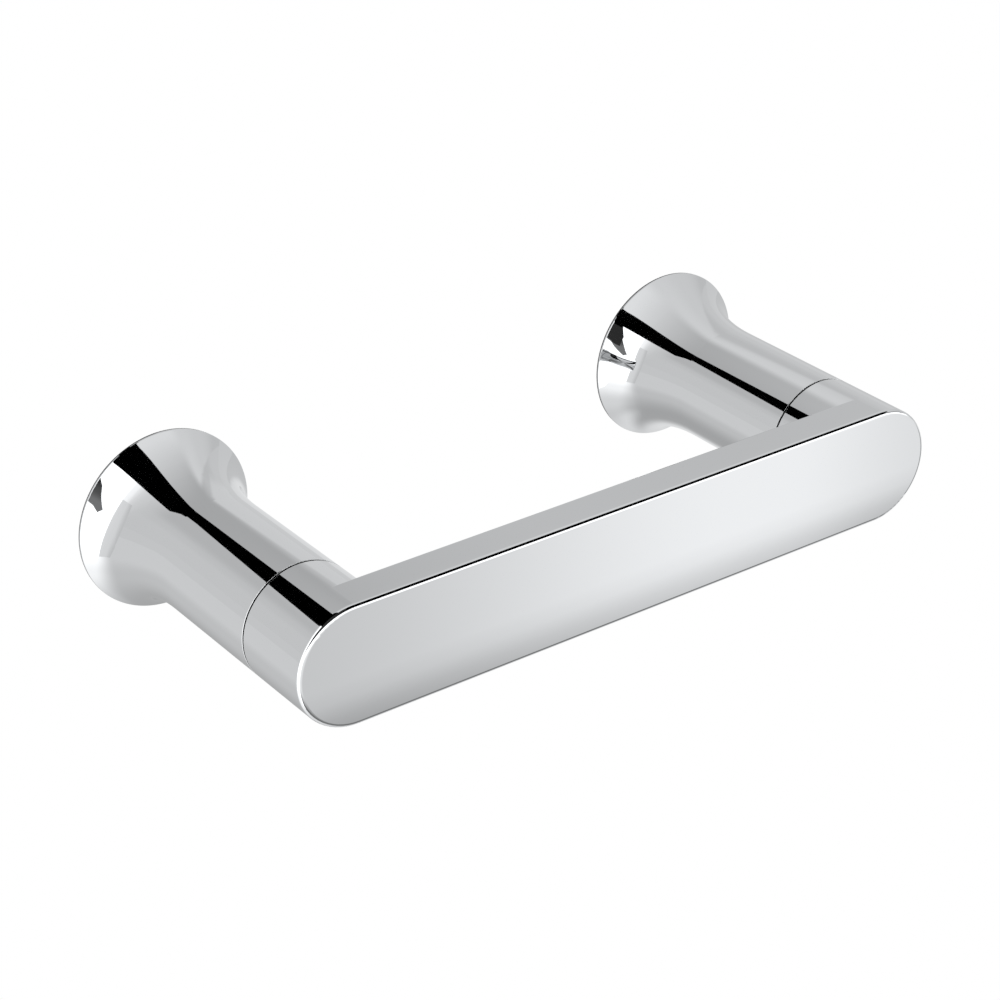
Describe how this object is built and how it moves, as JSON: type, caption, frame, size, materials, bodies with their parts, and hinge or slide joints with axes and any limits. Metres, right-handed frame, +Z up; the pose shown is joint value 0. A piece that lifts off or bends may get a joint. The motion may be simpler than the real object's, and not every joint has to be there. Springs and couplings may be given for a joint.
{
  "type": "toilet paper holder",
  "caption": "Wall-mounted toilet paper holder: flared round posts carry a flat bar with half-round ends, which lifts at one end to take a roll.",
  "frame": {"origin": "on the wall, midway between the two posts and at the height of their axes: the centre of the four wall screws", "axes": "the wall is the plane Y = 0 and +Y points into it; facing the wall, +X is to the right along the bar and +Z is up"},
  "size_m": [0.2214, 0.0929, 0.0506],
  "materials": {
    "polished_chrome": "polished",
    "cast_zinc": "matte",
    "zinc_plated_steel": "satin",
    "spring_steel": "satin",
    "foam_rubber": "matte",
    "acetal": "satin"
  },
  "bodies": {
    "wall_posts": {"left_post": "polished_chrome", "right_post": "polished_chrome", "left_wall_bracket": "cast_zinc", "right_wall_bracket": "cast_zinc", "left_set_screw": "zinc_plated_steel", "right_set_screw": "zinc_plated_steel", "left_gasket": "foam_rubber", "right_gasket": "foam_rubber", "pivot_bush_front": "acetal", "pivot_bush_rear": "acetal", "stop_pin": "spring_steel", "rest_pin": "zinc_plated_steel", "rest_cap": "acetal"},
    "arm": {"roll_arm": "polished_chrome", "pivot_screw": "zinc_plated_steel", "pivot_washer": "zinc_plated_steel", "pivot_disc_spring": "spring_steel"}
  },
  "joints": [
    {"name": "arm_swing", "type": "hinge", "parent": "wall_posts", "child": "arm", "pos_m": [-0.0854, -0.06795, 0], "axis": [0, -1, 0], "range_deg": [0, 95]}
  ]
}
